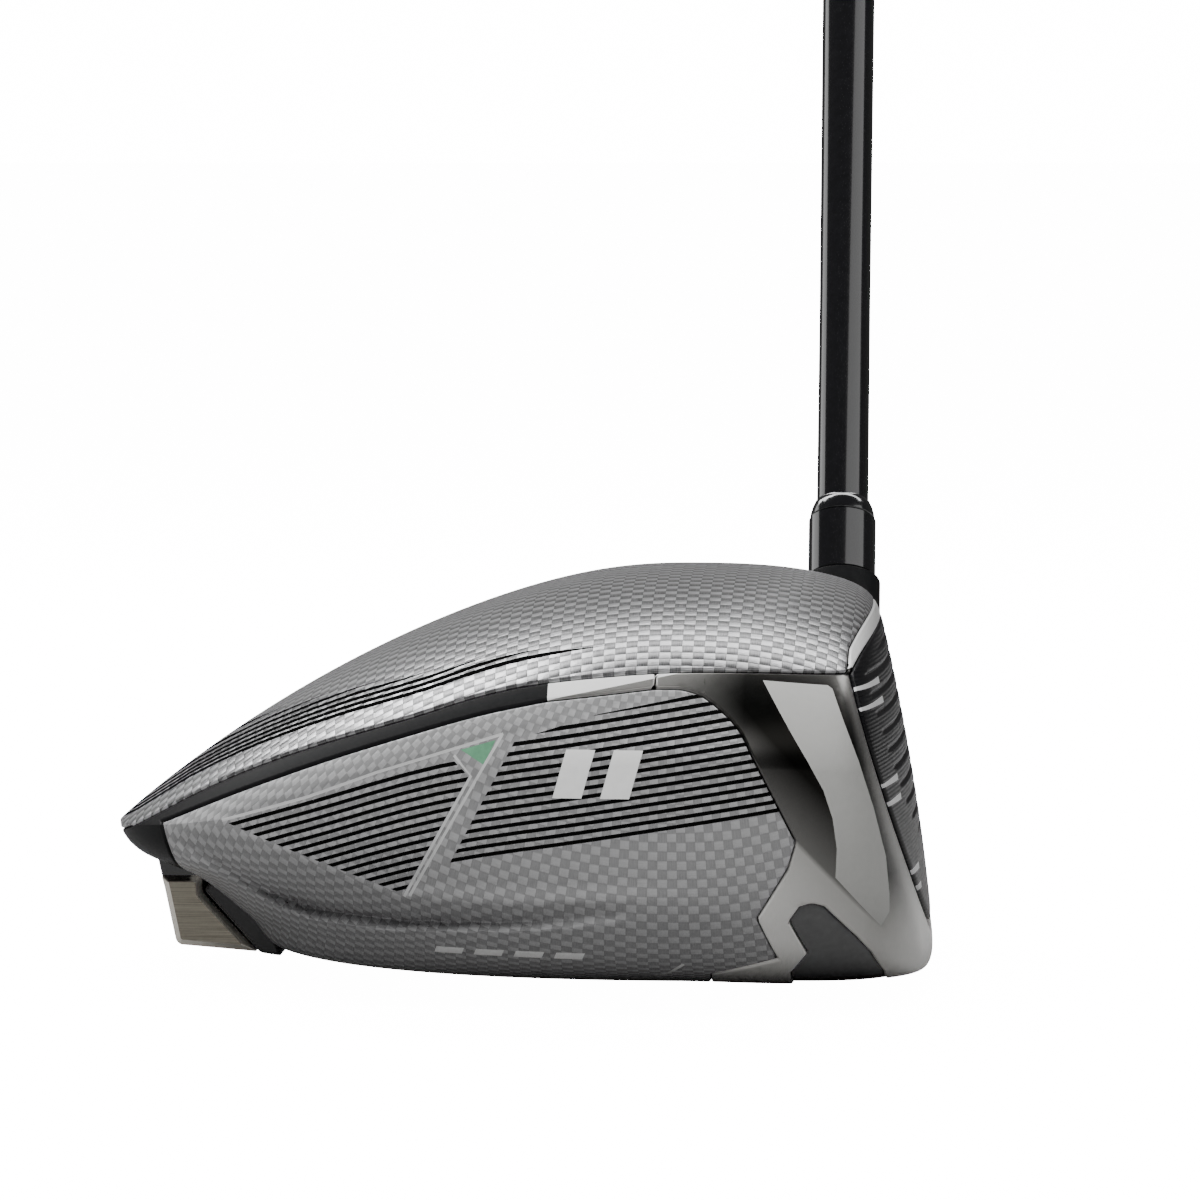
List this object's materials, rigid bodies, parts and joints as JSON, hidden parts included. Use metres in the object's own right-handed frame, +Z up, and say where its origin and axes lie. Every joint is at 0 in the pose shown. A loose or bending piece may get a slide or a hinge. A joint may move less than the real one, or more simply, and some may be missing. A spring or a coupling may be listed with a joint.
{
  "type": "golf driver",
  "caption": "Golf driver: hollow panelled head with a weighted tail, adjustable loft sleeve in the hosel, tapered shaft and rubber grip. Screws turn out and the shaft lifts out.",
  "frame": {"origin": "the flat spot of the sole that touches the ground at address", "axes": "+X towards the target, out of the face; +Y towards the heel and the golfer; +Z up. The shaft leans 60 degrees from the ground, in a plane parallel to YZ."},
  "size_m": [0.1245, 0.676, 1.0124],
  "materials": {
    "crown_carbon": "clear-coated silver carbon weave",
    "titanium": "satin grey titanium, light-grey matte inlay at the toe",
    "black_aluminium": "satin black anodised",
    "sole_carbon": "clear-coated grey carbon weave with black stripes",
    "face_film": "black ribbed polyurethane film with pale score lines",
    "face_carbon": "moulded carbon laminate",
    "black_polymer": "matte dark polymer",
    "tungsten": "brushed warm grey tungsten alloy",
    "steel": "machined steel",
    "gloss_black": "gloss black",
    "shaft_graphite": "gloss black lacquered carbon tube",
    "tape": "paper grip tape",
    "grip_rubber": "black moulded rubber"
  },
  "bodies": {
    "head": {"crown": "crown_carbon", "front_body": "titanium", "inertia_ring": "black_aluminium", "sole_panel": "sole_carbon", "face_cover": "face_film", "face_insert": "face_carbon", "pocket_insert": "black_polymer", "rear_weight_housing": "black_polymer", "rear_weight_block": "tungsten", "rear_weight_bush": "steel", "hosel_retainer": "black_polymer"},
    "shaft_group": {"loft_sleeve": "gloss_black", "ferrule": "gloss_black", "shaft": "shaft_graphite", "grip_tape": "tape", "grip": "grip_rubber", "grip_cap": "grip_rubber"},
    "hosel_washer": {"hosel_washer": "steel"},
    "hosel_screw": {"hosel_screw": "steel"},
    "rear_weight_washer": {"rear_weight_washer": "steel"},
    "rear_weight_screw": {"rear_weight_screw": "tungsten"},
    "front_weight_washer": {"front_weight_washer": "steel"},
    "front_weight_screw": {"front_weight_screw": "tungsten"}
  },
  "joints": [
    {"name": "shaft_pull", "type": "slide", "parent": "head", "child": "shaft_group", "axis": [0, 0.5, 0.866], "range_m": [0, 0.045]},
    {"name": "hosel_screw_turn", "type": "hinge", "parent": "head", "child": "hosel_washer", "pos_m": [0.009, 0.02, 0], "axis": [0, -0.5, -0.866], "range_deg": [0, 4321]},
    {"name": "hosel_screw_travel", "type": "slide", "parent": "hosel_washer", "child": "hosel_screw", "axis": [0, -0.5, -0.866], "range_m": [0, 0.0096]},
    {"name": "rear_weight_turn", "type": "hinge", "parent": "head", "child": "rear_weight_washer", "pos_m": [-0.0919, 0, 0.011], "axis": [-0.977, 0, -0.213], "range_deg": [0, 2881]},
    {"name": "rear_weight_travel", "type": "slide", "parent": "rear_weight_washer", "child": "rear_weight_screw", "axis": [-0.977, 0, -0.213], "range_m": [0, 0.008]},
    {"name": "front_weight_turn", "type": "hinge", "parent": "head", "child": "front_weight_washer", "pos_m": [0.0095, -0.001, 0.0009], "axis": [0, 0, -1], "range_deg": [0, 1981]},
    {"name": "front_weight_travel", "type": "slide", "parent": "front_weight_washer", "child": "front_weight_screw", "axis": [0, 0, -1], "range_m": [0, 0.0044]}
  ],
  "couplings": [
    {"joint": "hosel_screw_turn", "follows": "hosel_screw_travel", "rad_per_m": 7854},
    {"joint": "rear_weight_turn", "follows": "rear_weight_travel", "rad_per_m": 6283.2},
    {"joint": "front_weight_turn", "follows": "front_weight_travel", "rad_per_m": 7854}
  ]
}
